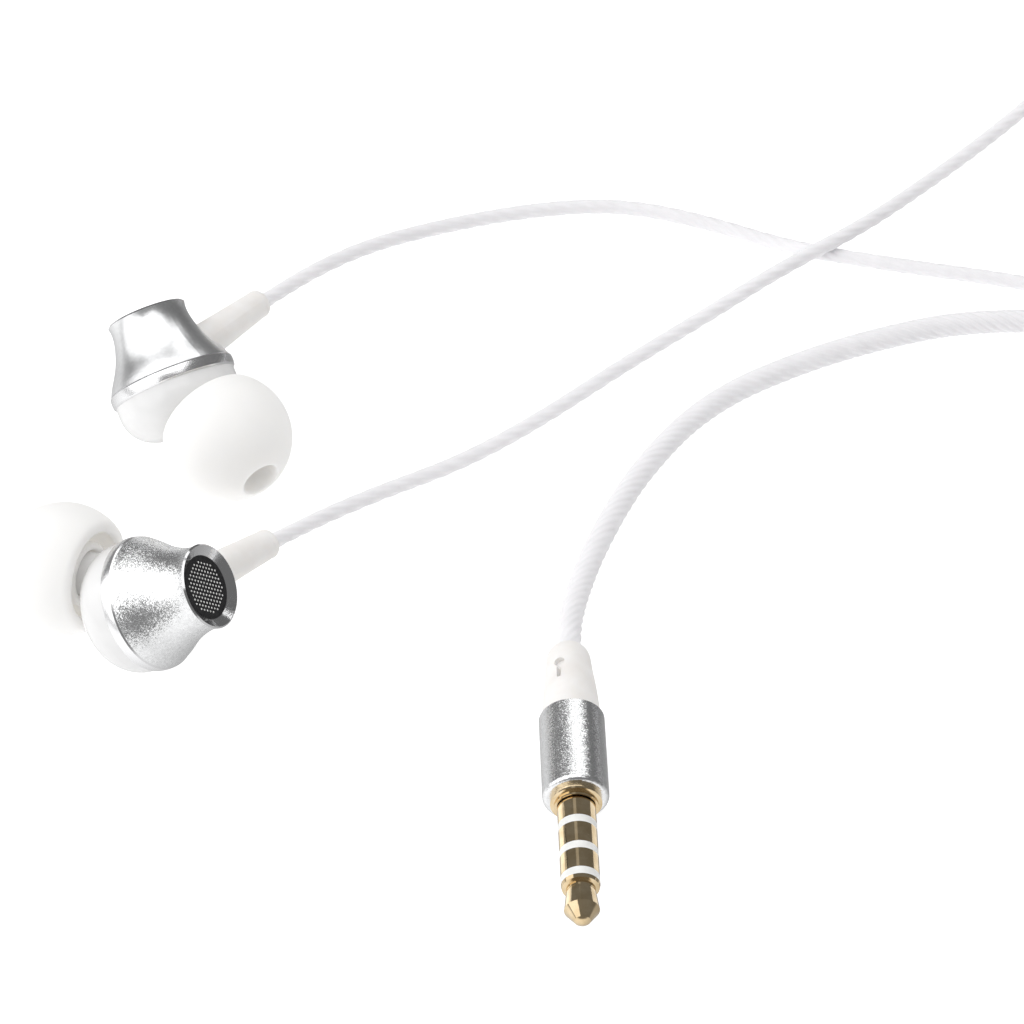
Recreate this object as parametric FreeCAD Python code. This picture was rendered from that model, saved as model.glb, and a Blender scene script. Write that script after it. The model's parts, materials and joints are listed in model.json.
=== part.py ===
"""Wired in-ear earphones: two earpieces, Y cord with in-line remote, 3.5 mm four-pole plug.

Everything lies on the plane z = 0. Millimetres, +Z up. The origin is on that plane, under
the middle of the pair of earpieces.
"""
import FreeCAD, Part

import os
from math import cos, pi, radians, sin, tan

Vec = FreeCAD.Vector
Z_AXIS = Vec(0, 0, 1)
AXIS_START = Vec(0, 0, 0)

FIT_GAP = 0.02                # clearance between pieces that are pushed together

# --- earpiece: its own frame has z along the housing towards the ear, zero at the bead's front
BELL_LENGTH = 7.95            # bead's front face to the open back rim
BELL_EDGE = 0.15              # chamfer round the back rim
BELL_POINTS = [(4.00, -7.80), (3.92, -6.80), (4.14, -5.60), (4.50, -4.50),
               (5.02, -3.40), (5.68, -2.30), (6.22, -1.23)]
BELL_WALL = 0.60
BELL_SEAT = 5.45              # radius of the counterbore that takes the bead's spigot
BEAD_WIDTH = 1.23
BEAD_RADIUS = 6.38
BEAD_CHAMFER = 0.15           # on both of the bead's edges
BEAD_CROWN = 0.04             # how far the bead's middle stands out from its chamfers
BEAD_BORE = 4.60
SPIGOT_END = -1.88
SHELL_RADIUS = 6.15
SHELL_CURVE = 3.40            # radius of the front shell's rounded shoulder
SHELL_STRAIGHT = 1.00
SHELL_WALL = 0.85
GRILLE_RADIUS = 3.00
GRILLE_THICK = 0.30
GRILLE_RECESS = 0.55          # depth of the dished rim in front of it
GRILLE_LEDGE = 0.22           # width of the ledge that it rests on
LEDGE_THICK = 0.33
GRILLE_PITCH = 0.43
GRILLE_HOLE_RADIUS = 0.13
GRILLE_REACH = 2.58           # the hole pattern's radius
NOZZLE_TILT = 26.4            # degrees between the housing's axis and the nozzle
NOZZLE_ROOT = -3.83           # where the nozzle's axis meets the housing's axis
NOZZLE_RADIUS = 2.15
NOZZLE_BORE = 1.45
NOZZLE_LIP = 2.30
NOZZLE_END = 14.20            # along the nozzle's axis from its root
MESH_RADIUS = 1.75
MESH_THICK = 0.15
TIP_RADIUS = 6.29
TIP_CENTRE = 12.20
TIP_SKIRT_START = 8.60
TIP_WALL = 0.54
TIP_BORE = 2.34
TIP_HOLE = 1.85
TIP_CORE = 3.10
TIP_CORE_START = 9.30

# --- driver inside the front shell
DRIVER_RADIUS = 5.15
DRIVER_DEPTH = 1.55
DRIVER_RIM = 4.55             # inner radius of the frame's rim
DRIVER_FLOOR = 0.45
CAP_THICK = 0.25
CAP_HOLES_AT = 2.60
YOKE_RADIUS = 3.28
YOKE_BORE = 2.85
YOKE_BACK = -1.40
POLE_FRONT = 0.44
POLE_RADIUS = 2.25
MAGNET_RADIUS = 2.20
MAGNET_BACK = -1.00
MAGNET_FRONT = 0.10
VOICE_COIL = (2.62, 2.42)     # outer and inner radius
VOICE_COIL_BACK = -0.35
FILM_RADIUS = 4.40
FILM_AT = 0.85
FILM_THICK = 0.08
FILM_DOME = 0.35
BOARD_AT = 3.95               # from the axis to the terminal board's middle

# --- cable boot on each housing
BOOT_ROOT = -2.20             # where its axis meets the housing's axis
BOOT_LEAN = 16.7              # degrees back from square to the housing
BOOT_BASE = 1.95
BOOT_TOP = 1.45
BOOT_END = 14.20
BOOT_START = 4.0
BOOT_BORE = 0.83
BOOT_NECK = 1.70
BOOT_FLANGE = 1.98
CORD_END = 2.5                # where the cord ends inside, along the boot's axis

# --- where the earpieces lie: place of the bead's front centre, then heading and pitch of the
# --- housing's front and roll of the nozzle about it, in degrees
EAR_PLACES = {
    "right": {"side": 1, "at": (0.61, -18.09, 6.26), "heading": 166.1, "pitch": -32.6, "roll": 26.3},
    "left": {"side": -1, "at": (1.58, 11.09, 6.25), "heading": -62.9, "pitch": -35.5, "roll": -19.2},
}

# --- cords
BRANCH_RADIUS = 0.78
MAIN_RADIUS = 1.20
BRANCH_FLOOR = 0.80           # height of a branch cord's centre where it lies flat
MAIN_FLOOR = 1.22
ARC_SHARE = 0.45              # part of the shorter run that an arc takes up
COILS = {
    "right": {"centre": (121.3, 80.0), "outer": 10.2, "pitch": 1.6, "turns": 3.38,
              "start": 138.0, "sense": -1, "cord": BRANCH_RADIUS, "floor": BRANCH_FLOOR},
    "left": {"centre": (102.8, 39.6), "outer": 10.2, "pitch": 1.6, "turns": 4.28,
             "start": -101.0, "sense": 1, "cord": BRANCH_RADIUS, "floor": BRANCH_FLOOR},
    "main": {"centre": (119.6, 0.1), "outer": 18.4, "pitch": 2.45, "turns": 6.5,
             "start": 180.0, "sense": 1, "cord": MAIN_RADIUS, "floor": MAIN_FLOOR},
}
ROUTES = {
    "right_cord_upper": [(20.8, 0.4, 1.90), (29.8, 6.2, 0.80), (37.8, 12.5, 0.80), (45.9, 20.1, 0.80),
                         (54.4, 27.4, 0.80), (62.9, 33.5, 2.30), (71.6, 39.8, 2.40), (80.9, 50.3, 0.95),
                         (88.1, 58.1, 0.80), (92.9, 63.0, 1.70), (96.2, 66.8, 2.30)],
    "right_cord_middle": [(108.2, 80.2, 2.30), (111.0, 83.5, 1.60)],
    "right_cord_lower": [(131.6, 72.2, 2.00), (133.2, 62.7, 1.00), (136.8, 53.2, 0.80),
                         (138.7, 43.2, 0.90), (139.2, 34.0, 2.10), (139.2, 27.0, 2.20)],
    "left_cord_upper": [(18.8, 34.3, 4.10), (27.8, 40.7, 1.70), (37.3, 44.3, 0.80), (46.3, 45.0, 0.80),
                        (54.9, 42.4, 0.80), (63.9, 38.1, 0.80), (74.8, 35.4, 0.80), (85.8, 33.2, 0.80),
                        (93.9, 30.9, 0.80)],
    "left_cord_lower": [(113.1, 44.6, 1.90), (113.6, 50.3, 1.10), (117.3, 55.7, 0.80), (123.3, 57.8, 0.80),
                        (129.1, 55.5, 0.80), (132.2, 50.0, 0.80), (133.6, 43.0, 0.90), (135.9, 36.6, 1.70),
                        (136.4, 31.6, 2.20), (136.4, 27.2, 2.20)],
    "main_cord_lower": [(40.4, -14.7, 2.30), (42.9, -5.2, 1.25), (47.5, 5.1, 1.22), (54.6, 14.6, 1.22),
                        (65.3, 21.0, 1.22), (76.1, 25.1, 1.22), (82.7, 26.3, 1.22), (90.4, 26.4, 1.22),
                        (97.1, 22.4, 1.22), (100.8, 15.6, 1.22), (101.2, 7.8, 1.22)],
    "main_cord_upper": [(138.1, 6.0, 3.20), (137.8, 11.4, 2.30), (137.8, 15.5, 2.20)],
}

# --- in-line remote on the right branch and Y splitter
REMOTE_AT = (102.2, 73.5)
REMOTE_HEADING = 48.5
REMOTE_LENGTH = 20.0
REMOTE_WIDTH = 6.0
REMOTE_HEIGHT = 4.6
BUTTON_LENGTH = 7.6
BUTTON_WIDTH = 3.0
BUTTON_GAP = 0.12
BUTTON_TRAVEL = 0.35
BUTTON_FLANGE = 0.35          # thickness of the flange that keeps the button in
REMOTE_BOARD_AT = 1.40        # height of the board's underside
REMOTE_BOARD_THICK = 0.50
MICROPHONE_AT = 6.2           # along the remote from its middle
SPLITTER_AT = (137.8, 21.2)
SPLITTER_LENGTH = 14.0
SPLITTER_WIDTH = 6.6
SPLITTER_HEIGHT = 4.4
SHELL_HALF_WALL = 0.80

# --- plug: its own frame has z from the barrel's front towards the tip
PLUG_AT = (40.48, -38.94, 3.02)
PLUG_HEADING = -88.3
JACK_RADIUS = 1.75
JACK_LENGTH = 14.0
JACK_NECK = 1.45              # the sleeve's thinner root, inside the collar and the barrel
JACK_ROOT = -4.0
JACK_START = 1.15             # where the sleeve has its full radius, just clear of the collar
JACK_BORE = 0.90
TIP_ROD_RADIUS = 0.60         # the tip's rod, which runs back through rings and sleeve
COLLAR_STEPS = [(2.35, 0.55), (2.02, 1.0)]
BARREL_RADIUS = 3.02
BARREL_BORE = 2.40
BARREL_FRONT_WALL = 1.0
BARREL_LENGTH = 9.6
PLUG_BOOT_LENGTH = 8.4
SLOT_TURN = 27.0              # degrees from the top of the boot
INSULATOR_WIDTH = 0.80
INSULATOR_PLACES = [3.10, 6.10, 9.00]

nodes = {}


def spun(edges):
    """Solid of revolution of a closed outline of (radius, height) edges about Z."""
    return Part.Face(Part.Wire(edges)).revolve(AXIS_START, Z_AXIS, 360)


def flat(radius_height):
    return Vec(radius_height[0], 0, radius_height[1])


def lines(points):
    return [Part.LineSegment(flat(a), flat(b)).toShape() for a, b in zip(points, points[1:])]


def arc(start, middle, end):
    return Part.Arc(flat(start), flat(middle), flat(end)).toShape()


def cap(edge_radius, low, high):
    """Arc from a rim point up to the axis, on a sphere centred on the axis."""
    height = high - low
    sphere = (edge_radius ** 2 + height ** 2) / (2 * height)
    middle = high - sphere + (sphere ** 2 - edge_radius ** 2 / 4) ** 0.5
    return arc((edge_radius, low), (edge_radius / 2, middle), (0, high))


def curve(points):
    spline = Part.BSplineCurve()
    spline.interpolate([flat(p) for p in points])
    return spline.toShape()


def tube(outer, inner, low, high):
    """Ring about Z between two heights."""
    ring = Part.makeCylinder(outer, high - low, Vec(0, 0, low))
    if inner > 0:
        ring = ring.cut(Part.makeCylinder(inner, high - low, Vec(0, 0, low)))
    return ring


def along(shape, base, direction):
    """Stand a shape built about Z on a base point, its Z along a direction."""
    moved = shape.copy()
    moved.Placement = FreeCAD.Placement(base, FreeCAD.Rotation(Z_AXIS, direction))
    return moved


def nozzle_axis():
    tilt = radians(NOZZLE_TILT)
    return Vec(0, 0, NOZZLE_ROOT), Vec(sin(tilt), 0, cos(tilt))


def boot_axis(side):
    lean = radians(BOOT_LEAN)
    return Vec(0, 0, BOOT_ROOT), Vec(0, side * cos(lean), -sin(lean))


# ---------------------------------------------------------------- earpiece
def bell_outside():
    """The housing's outer shape, filled."""
    rim = BELL_POINTS[0][0]
    front = BELL_POINTS[-1]
    edges = lines([(0, front[1]), front])
    edges.append(curve(list(reversed(BELL_POINTS))))
    edges += lines([BELL_POINTS[0], (rim - BELL_EDGE, -BELL_LENGTH), (0, -BELL_LENGTH), (0, front[1])])
    return spun(edges)


def housing(side):
    """Aluminium bell with a dished rim round the grille, a counterbore for the bead and a boot hole."""
    seat = -BELL_LENGTH + GRILLE_RECESS + GRILLE_THICK
    ledge = seat + LEDGE_THICK
    inner = [(r - BELL_WALL, z) for r, z in BELL_POINTS[2:-1]]
    cavity = lines([(0, ledge), (inner[0][0] - 0.15, ledge), inner[0]])
    cavity.append(curve(inner))
    cavity += lines([inner[-1], (BELL_SEAT, SPIGOT_END - FIT_GAP), (BELL_SEAT, 0), (0, 0), (0, ledge)])
    body = bell_outside().cut(spun(cavity))
    body = body.cut(tube(GRILLE_RADIUS + FIT_GAP, 0, -BELL_LENGTH - 1, seat))
    body = body.cut(tube(GRILLE_RADIUS - GRILLE_LEDGE, 0, seat - 0.1, ledge + 0.1))
    edge = BELL_POINTS[0][0] - BELL_EDGE
    dish = Part.makeCone(edge, GRILLE_RADIUS + FIT_GAP, GRILLE_RECESS, Vec(0, 0, -BELL_LENGTH))
    base, direction = boot_axis(side)
    hole = Part.makeCylinder(BOOT_NECK + FIT_GAP, 6.0, base + direction * 3.2, direction)
    return body.cut(dish).cut(hole)


def trim_ring():
    """Polished bead between housing and front shell, with a spigot into the housing."""
    shoulder = BEAD_RADIUS - BEAD_CROWN
    edge = shoulder - BEAD_CHAMFER
    spigot = BELL_SEAT - FIT_GAP
    back = -BEAD_WIDTH + BEAD_CHAMFER
    edges = [arc((shoulder, back), (BEAD_RADIUS, -BEAD_WIDTH / 2), (shoulder, -BEAD_CHAMFER))]
    edges += lines([(shoulder, -BEAD_CHAMFER), (edge, 0), (BEAD_BORE, 0), (BEAD_BORE, SPIGOT_END),
                    (spigot, SPIGOT_END), (spigot, -BEAD_WIDTH), (edge, -BEAD_WIDTH), (shoulder, back)])
    return spun(edges)


def grille():
    """Disc with a round field of holes, staggered row by row."""
    top = -BELL_LENGTH + GRILLE_RECESS
    disc = tube(GRILLE_RADIUS, 0, top, top + GRILLE_THICK)
    across = int(GRILLE_REACH / GRILLE_PITCH) + 1
    holes = []
    for row in range(-across, across + 1):
        y = row * GRILLE_PITCH * sin(pi / 3)
        for place in range(-across, across + 1):
            x = (place + row % 2 / 2) * GRILLE_PITCH
            if x ** 2 + y ** 2 < GRILLE_REACH ** 2:
                holes.append(Part.makeCylinder(GRILLE_HOLE_RADIUS, 2, Vec(x, y, top - 0.5)))
    return disc.cut(holes)


def front_shell():
    """White dome with the tilted sound nozzle."""
    centre = SHELL_RADIUS - SHELL_CURVE
    top = SHELL_STRAIGHT + SHELL_CURVE
    half = SHELL_CURVE * sin(pi / 4)
    edges = lines([(0, 0), (SHELL_RADIUS, 0), (SHELL_RADIUS, SHELL_STRAIGHT)])
    edges.append(arc((SHELL_RADIUS, SHELL_STRAIGHT), (centre + half, SHELL_STRAIGHT + half), (centre, top)))
    edges += lines([(centre, top), (0, top), (0, 0)])
    dome = spun(edges)
    inner = SHELL_CURVE - SHELL_WALL
    seat = DRIVER_RADIUS + 0.05
    rise = (inner ** 2 - (seat - centre) ** 2) ** 0.5
    middle = (centre + inner * cos(radians(55)), SHELL_STRAIGHT + inner * sin(radians(55)))
    edges = lines([(0, 0), (seat, 0), (seat, SHELL_STRAIGHT + rise)])
    edges.append(arc((seat, SHELL_STRAIGHT + rise), middle, (centre, SHELL_STRAIGHT + inner)))
    edges += lines([(centre, SHELL_STRAIGHT + inner), (0, SHELL_STRAIGHT + inner), (0, 0)])
    cavity = spun(edges)
    base, direction = nozzle_axis()
    stem = Part.makeCylinder(NOZZLE_RADIUS, NOZZLE_END - 8.0, base + direction * 8.0, direction)
    lip = Part.makeCylinder(NOZZLE_LIP, 0.9, base + direction * (NOZZLE_END - 0.9), direction)
    bore = Part.makeCylinder(NOZZLE_BORE, NOZZLE_END, base + direction * 6.0, direction)
    seat_at = base + direction * (NOZZLE_END - 2 * MESH_THICK)
    mesh_seat = Part.makeCylinder(MESH_RADIUS + FIT_GAP, 1.0, seat_at, direction)
    return dome.fuse([stem, lip]).cut([cavity, bore, mesh_seat]).removeSplitter()


def nozzle_mesh():
    base, direction = nozzle_axis()
    return Part.makeCylinder(MESH_RADIUS, MESH_THICK, base + direction * (NOZZLE_END - 0.29), direction)


def ear_tip():
    """Ball-shaped silicone tip: thin skirt folded back over the core that grips the nozzle."""
    skirt_radius = (TIP_RADIUS ** 2 - (TIP_CENTRE - TIP_SKIRT_START) ** 2) ** 0.5
    front = TIP_CENTRE + (TIP_RADIUS ** 2 - TIP_HOLE ** 2) ** 0.5
    under = TIP_RADIUS - TIP_WALL
    under_radius = (under ** 2 - (TIP_CENTRE - TIP_SKIRT_START) ** 2) ** 0.5
    fold = TIP_CENTRE + (under ** 2 - TIP_CORE ** 2) ** 0.5
    edges = [arc((skirt_radius, TIP_SKIRT_START), (TIP_RADIUS, TIP_CENTRE), (TIP_HOLE, front))]
    edges += lines([(TIP_HOLE, front), (TIP_HOLE, 14.5), (TIP_BORE, 14.5), (TIP_BORE, TIP_CORE_START),
                    (TIP_CORE, TIP_CORE_START), (TIP_CORE, fold)])
    edges.append(arc((TIP_CORE, fold), (under, TIP_CENTRE), (under_radius, TIP_SKIRT_START)))
    edges += lines([(under_radius, TIP_SKIRT_START), (skirt_radius, TIP_SKIRT_START)])
    return along(spun(edges), *nozzle_axis())


def boot(side):
    """Tapered cable boot with a neck through the housing's wall and a flange behind it."""
    shoulder = (BOOT_TOP, BOOT_END - 0.8)
    end = (BOOT_TOP - 0.45, BOOT_END)
    edges = lines([(BOOT_BORE, BOOT_START), (BOOT_BASE, BOOT_START), shoulder])
    edges.append(arc(shoulder, (BOOT_TOP - 0.13, BOOT_END - 0.2), end))
    edges += lines([end, (BOOT_BORE, BOOT_END), (BOOT_BORE, BOOT_START)])
    base, direction = boot_axis(side)
    bead = tube(BEAD_RADIUS, 0, -BEAD_WIDTH, 0)
    outside = along(spun(edges), base, direction).cut([bell_outside(), bead])
    neck = along(tube(BOOT_NECK, BOOT_BORE, BOOT_START - 0.1, BOOT_START + 2.6), base, direction)
    flange = along(tube(BOOT_FLANGE, BOOT_BORE, BOOT_START - 0.5, BOOT_START - 0.05), base, direction)
    return outside.fuse([neck, flange]).removeSplitter()


def cord_stop(side):
    """Crimped sleeve on the cord's end that keeps it from pulling out."""
    return along(tube(1.35, BRANCH_RADIUS, CORD_END, BOOT_START - 0.6), *boot_axis(side))


def driver_frame():
    cup = tube(DRIVER_RADIUS, 0, 0, DRIVER_DEPTH)
    return cup.cut(tube(DRIVER_RIM, 0, DRIVER_FLOOR, 2)).cut(tube(YOKE_RADIUS, 0, -1, 1))


def driver_cap():
    """Perforated cover over the diaphragm."""
    turns = [n * pi / 3 for n in range(6)]
    holes = [Part.makeCylinder(0.5, 2, Vec(CAP_HOLES_AT * cos(a), CAP_HOLES_AT * sin(a), 1)) for a in turns]
    return tube(DRIVER_RADIUS, 0.5, DRIVER_DEPTH, DRIVER_DEPTH + CAP_THICK).cut(holes)


def driver_yoke():
    cup = tube(YOKE_RADIUS, 0, YOKE_BACK, POLE_FRONT)
    return cup.cut(tube(YOKE_BORE, 0, MAGNET_BACK, 1))


def driver_diaphragm():
    """Flat film with a shallow dome over the voice coil."""
    over = FILM_AT + FILM_THICK
    outer = VOICE_COIL[0] + FILM_THICK
    edges = [cap(outer, over, over + FILM_DOME)]
    edges += lines([(outer, over), (FILM_RADIUS, over), (FILM_RADIUS, FILM_AT), (VOICE_COIL[0], FILM_AT)])
    edges.append(cap(VOICE_COIL[0], FILM_AT, FILM_AT + FILM_DOME - 0.02))
    edges += lines([(0, FILM_AT + FILM_DOME - 0.02), (0, over + FILM_DOME)])
    return spun(edges)


def driver_board(side):
    """Terminal board with its two solder pads, behind the driver's frame."""
    plate = Part.makeBox(2.6, 1.0, 0.3, Vec(-1.3, -0.5, -0.3))
    pads = [Part.makeBox(0.6, 0.6, 0.12, Vec(x, -0.3, -0.42)) for x in (-1.0, 0.4)]
    board = plate.fuse(pads).removeSplitter()
    board.translate(Vec(0, side * BOARD_AT, 0))
    return board


def ear_pieces(side):
    return {
        "housing": housing(side),
        "trim_ring": trim_ring(),
        "grille": grille(),
        "front_shell": front_shell(),
        "nozzle_mesh": nozzle_mesh(),
        "ear_tip": ear_tip(),
        "boot": boot(side),
        "cord_stop": cord_stop(side),
        "driver_frame": driver_frame(),
        "driver_cap": driver_cap(),
        "driver_yoke": driver_yoke(),
        "driver_magnet": tube(MAGNET_RADIUS, 0, MAGNET_BACK, MAGNET_FRONT),
        "driver_pole_plate": tube(POLE_RADIUS, 0, MAGNET_FRONT, POLE_FRONT),
        "driver_voice_coil": tube(*VOICE_COIL, VOICE_COIL_BACK, FILM_AT),
        "driver_diaphragm": driver_diaphragm(),
        "driver_board": driver_board(side),
    }


def ear_placement(place):
    """Turns the earpiece's own frame to the way the earpiece lies."""
    heading = radians(place["heading"])
    pitch = radians(place["pitch"])
    roll = radians(place["roll"])
    front = Vec(cos(pitch) * cos(heading), cos(pitch) * sin(heading), sin(pitch))
    upward = Z_AXIS - front * front.dot(Z_AXIS)
    upward.normalize()
    sideways = front.cross(upward)
    tilt = upward * cos(roll) + sideways * sin(roll)
    third = front.cross(tilt)
    matrix = FreeCAD.Matrix(tilt.x, third.x, front.x, place["at"][0],
                            tilt.y, third.y, front.y, place["at"][1],
                            tilt.z, third.z, front.z, place["at"][2],
                            0, 0, 0, 1)
    return FreeCAD.Placement(matrix)


# ---------------------------------------------------------------- cords
def cord_path(points, name):
    """Straight runs joined by tangent arcs, each as large as its two runs allow."""
    edges = []
    start = points[0]
    radii = []
    for before, corner, after in zip(points, points[1:], points[2:]):
        back = before - corner
        ahead = after - corner
        cut = ARC_SHARE * min(back.Length, ahead.Length)
        half_turn = (pi - back.getAngle(ahead)) / 2
        radius = cut / tan(half_turn)
        back.normalize()
        ahead.normalize()
        bisector = back + ahead
        bisector.normalize()
        enter = corner + back * cut
        leave = corner + ahead * cut
        middle = corner + bisector * (radius / cos(half_turn) - radius)
        edges.append(Part.LineSegment(start, enter).toShape())
        edges.append(Part.Arc(enter, middle, leave).toShape())
        start = leave
        radii.append(round(radius, 1))
    edges.append(Part.LineSegment(start, points[-1]).toShape())
    path = Part.Wire(edges)
    print(name, "length", round(path.Length, 1), "radii", radii)
    return path


def cord_tube(points, radius, name):
    path = cord_path(points, name)
    circle = Part.Wire(Part.makeCircle(radius, points[0], points[1] - points[0]))
    pipe = path.makePipeShell([circle], True, True)
    expected = pi * radius ** 2 * path.Length
    print(name, "volume over section times length", round(pipe.Volume / expected, 4))
    return pipe


def coil_end(coil, turned):
    """Point on a coil's outer turn, on its lower layer at the start and its upper at the end."""
    angle = radians(coil["start"] + coil["sense"] * 360 * turned)
    height = coil["floor"] + (coil["pitch"] if turned > 0 else 0)
    return Vec(coil["centre"][0] + coil["outer"] * cos(angle),
               coil["centre"][1] + coil["outer"] * sin(angle), height)


def coil_ring(coil):
    """Outer shape of two layers of turns, wound inwards and then out again."""
    inner = coil["outer"] - coil["pitch"] * coil["turns"] / 2 - coil["cord"]
    outer = coil["outer"] + coil["cord"]
    low = coil["floor"] - coil["cord"]
    ring = tube(outer, inner, low, coil["floor"] + coil["pitch"] + coil["cord"])
    ring.translate(Vec(coil["centre"][0], coil["centre"][1], 0))
    return ring


def boot_run(name):
    """Start of a branch cord: from inside the housing to a little past the boot's end."""
    place = ear_placement(EAR_PLACES[name])
    base, direction = boot_axis(EAR_PLACES[name]["side"])
    return [place.multVec(base + direction * along_boot) for along_boot in (CORD_END, BOOT_END + 2.2)]


def plug_placement():
    direction = Vec(cos(radians(PLUG_HEADING)), sin(radians(PLUG_HEADING)), 0)
    return FreeCAD.Placement(Vec(*PLUG_AT), FreeCAD.Rotation(Z_AXIS, direction))


def plug_run():
    """Start of the main cord: from inside the plug's boot to a little past its end."""
    rear = BARREL_LENGTH + PLUG_BOOT_LENGTH
    return [plug_placement().multVec(Vec(0, 0, -behind)) for behind in (rear - 6.0, rear + 0.8)]


def cords():
    routes = {name: [Vec(*point) for point in points] for name, points in ROUTES.items()}
    ends = {name: [coil_end(coil, 0), coil_end(coil, coil["turns"])] for name, coil in COILS.items()}
    nodes["right_cord_upper"] = cord_tube(boot_run("right") + routes["right_cord_upper"],
                                          BRANCH_RADIUS, "right_cord_upper")
    nodes["right_cord_middle"] = cord_tube(routes["right_cord_middle"] + [ends["right"][0]],
                                           BRANCH_RADIUS, "right_cord_middle")
    nodes["right_cord_lower"] = cord_tube([ends["right"][1]] + routes["right_cord_lower"],
                                          BRANCH_RADIUS, "right_cord_lower")
    nodes["left_cord_upper"] = cord_tube(boot_run("left") + routes["left_cord_upper"] + [ends["left"][0]],
                                         BRANCH_RADIUS, "left_cord_upper")
    nodes["left_cord_lower"] = cord_tube([ends["left"][1]] + routes["left_cord_lower"],
                                         BRANCH_RADIUS, "left_cord_lower")
    nodes["main_cord_lower"] = cord_tube(plug_run() + routes["main_cord_lower"] + [ends["main"][0]],
                                         MAIN_RADIUS, "main_cord_lower")
    nodes["main_cord_upper"] = cord_tube([ends["main"][1]] + routes["main_cord_upper"],
                                         MAIN_RADIUS, "main_cord_upper")
    for name, coil in COILS.items():
        nodes[name + "_cord_coil"] = coil_ring(coil)


# ---------------------------------------------------------------- remote, splitter and plug
def pill(length, width, height, rounding=0.28):
    """Lozenge lying along X on z = 0, with rounded ends; edges rounded by a share of the height."""
    straight = length - width
    body = Part.makeBox(straight, width, height, Vec(-straight / 2, -width / 2, 0))
    ends = [Part.makeCylinder(width / 2, height, Vec(x, 0, 0)) for x in (-straight / 2, straight / 2)]
    body = body.fuse(ends).removeSplitter()
    if rounding == 0:
        return body
    rims = [e for e in body.Edges if e.BoundBox.ZLength < 0.01]
    return body.makeFillet(height * rounding, rims)


def half_shells(length, width, height):
    """Two hollow halves of a lozenge, split at mid height."""
    wall = SHELL_HALF_WALL
    hollow = pill(length - 2 * wall, width - 2 * wall, height - 2 * wall, 0.08)
    hollow.translate(Vec(0, 0, wall))
    shell = pill(length, width, height).cut(hollow)
    upper = Part.makeBox(length + 2, width + 2, height, Vec(-length / 2 - 1, -width / 2 - 1, height / 2))
    return shell.common(upper), shell.cut(upper)


def place_flat(shape, at, heading):
    moved = shape.copy()
    moved.Placement = FreeCAD.Placement(Vec(at[0], at[1], 0), FreeCAD.Rotation(Z_AXIS, heading))
    return moved


def lying_bore(radius, low_x, length, height, across=0):
    return Part.makeCylinder(radius, length, Vec(low_x, across, height), Vec(1, 0, 0))


def remote():
    """In-line remote: two half shells, one button, switch board and microphone."""
    top, bottom = half_shells(REMOTE_LENGTH, REMOTE_WIDTH, REMOTE_HEIGHT)
    mid = REMOTE_HEIGHT / 2
    cord_hole = lying_bore(BRANCH_RADIUS + 0.12, -REMOTE_LENGTH, 2 * REMOTE_LENGTH, mid)
    window = pill(BUTTON_LENGTH + 2 * BUTTON_GAP, BUTTON_WIDTH + 2 * BUTTON_GAP, 2.0, 0)
    window.translate(Vec(0, 0, REMOTE_HEIGHT - 1.3))
    mic_port = Part.makeCylinder(0.35, 2, Vec(MICROPHONE_AT, 0, REMOTE_HEIGHT - 1.2))
    flange_at = REMOTE_HEIGHT - SHELL_HALF_WALL - BUTTON_FLANGE - 0.02
    flange = pill(BUTTON_LENGTH + 0.9, BUTTON_WIDTH + 0.5, BUTTON_FLANGE)
    flange.translate(Vec(0, 0, flange_at))
    cap = pill(BUTTON_LENGTH, BUTTON_WIDTH, BUTTON_TRAVEL + 1.1)
    cap.translate(Vec(0, 0, REMOTE_HEIGHT - 1.1))
    board = Part.makeBox(14.0, 3.6, REMOTE_BOARD_THICK, Vec(-7.0, -1.8, REMOTE_BOARD_AT))
    on_board = REMOTE_BOARD_AT + REMOTE_BOARD_THICK
    plunger_top = flange_at - BUTTON_TRAVEL - 0.08
    switch = Part.makeCylinder(1.1, 0.70, Vec(0, 0, on_board))
    plunger = Part.makeCylinder(0.6, plunger_top - on_board, Vec(0, 0, on_board))
    switch = switch.fuse(plunger).removeSplitter()
    pieces = {
        "remote_top": top.cut([cord_hole, window, mic_port]),
        "remote_bottom": bottom.cut(cord_hole),
        "remote_button": cap.fuse(flange).removeSplitter(),
        "remote_board": board,
        "remote_switch": switch,
        "remote_microphone": Part.makeCylinder(1.1, 0.9, Vec(MICROPHONE_AT, 0, on_board)),
    }
    for name, shape in pieces.items():
        nodes[name] = place_flat(shape, REMOTE_AT, REMOTE_HEADING)


def splitter():
    """Y splitter: two half shells over the board that joins the cords."""
    top, bottom = half_shells(SPLITTER_LENGTH, SPLITTER_WIDTH, SPLITTER_HEIGHT)
    mid = SPLITTER_HEIGHT / 2
    holes = [lying_bore(BRANCH_RADIUS + 0.03, 0, SPLITTER_LENGTH, mid, across) for across in (-1.4, 1.4)]
    holes.append(lying_bore(MAIN_RADIUS + 0.03, -SPLITTER_LENGTH, SPLITTER_LENGTH, mid))
    pieces = {
        "splitter_top": top.cut(holes),
        "splitter_bottom": bottom.cut(holes),
        "splitter_board": Part.makeBox(6.0, 3.6, 0.6, Vec(-2.6, -1.8, mid - 0.3)),
    }
    for name, shape in pieces.items():
        nodes[name] = place_flat(shape, SPLITTER_AT, 90)


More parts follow.
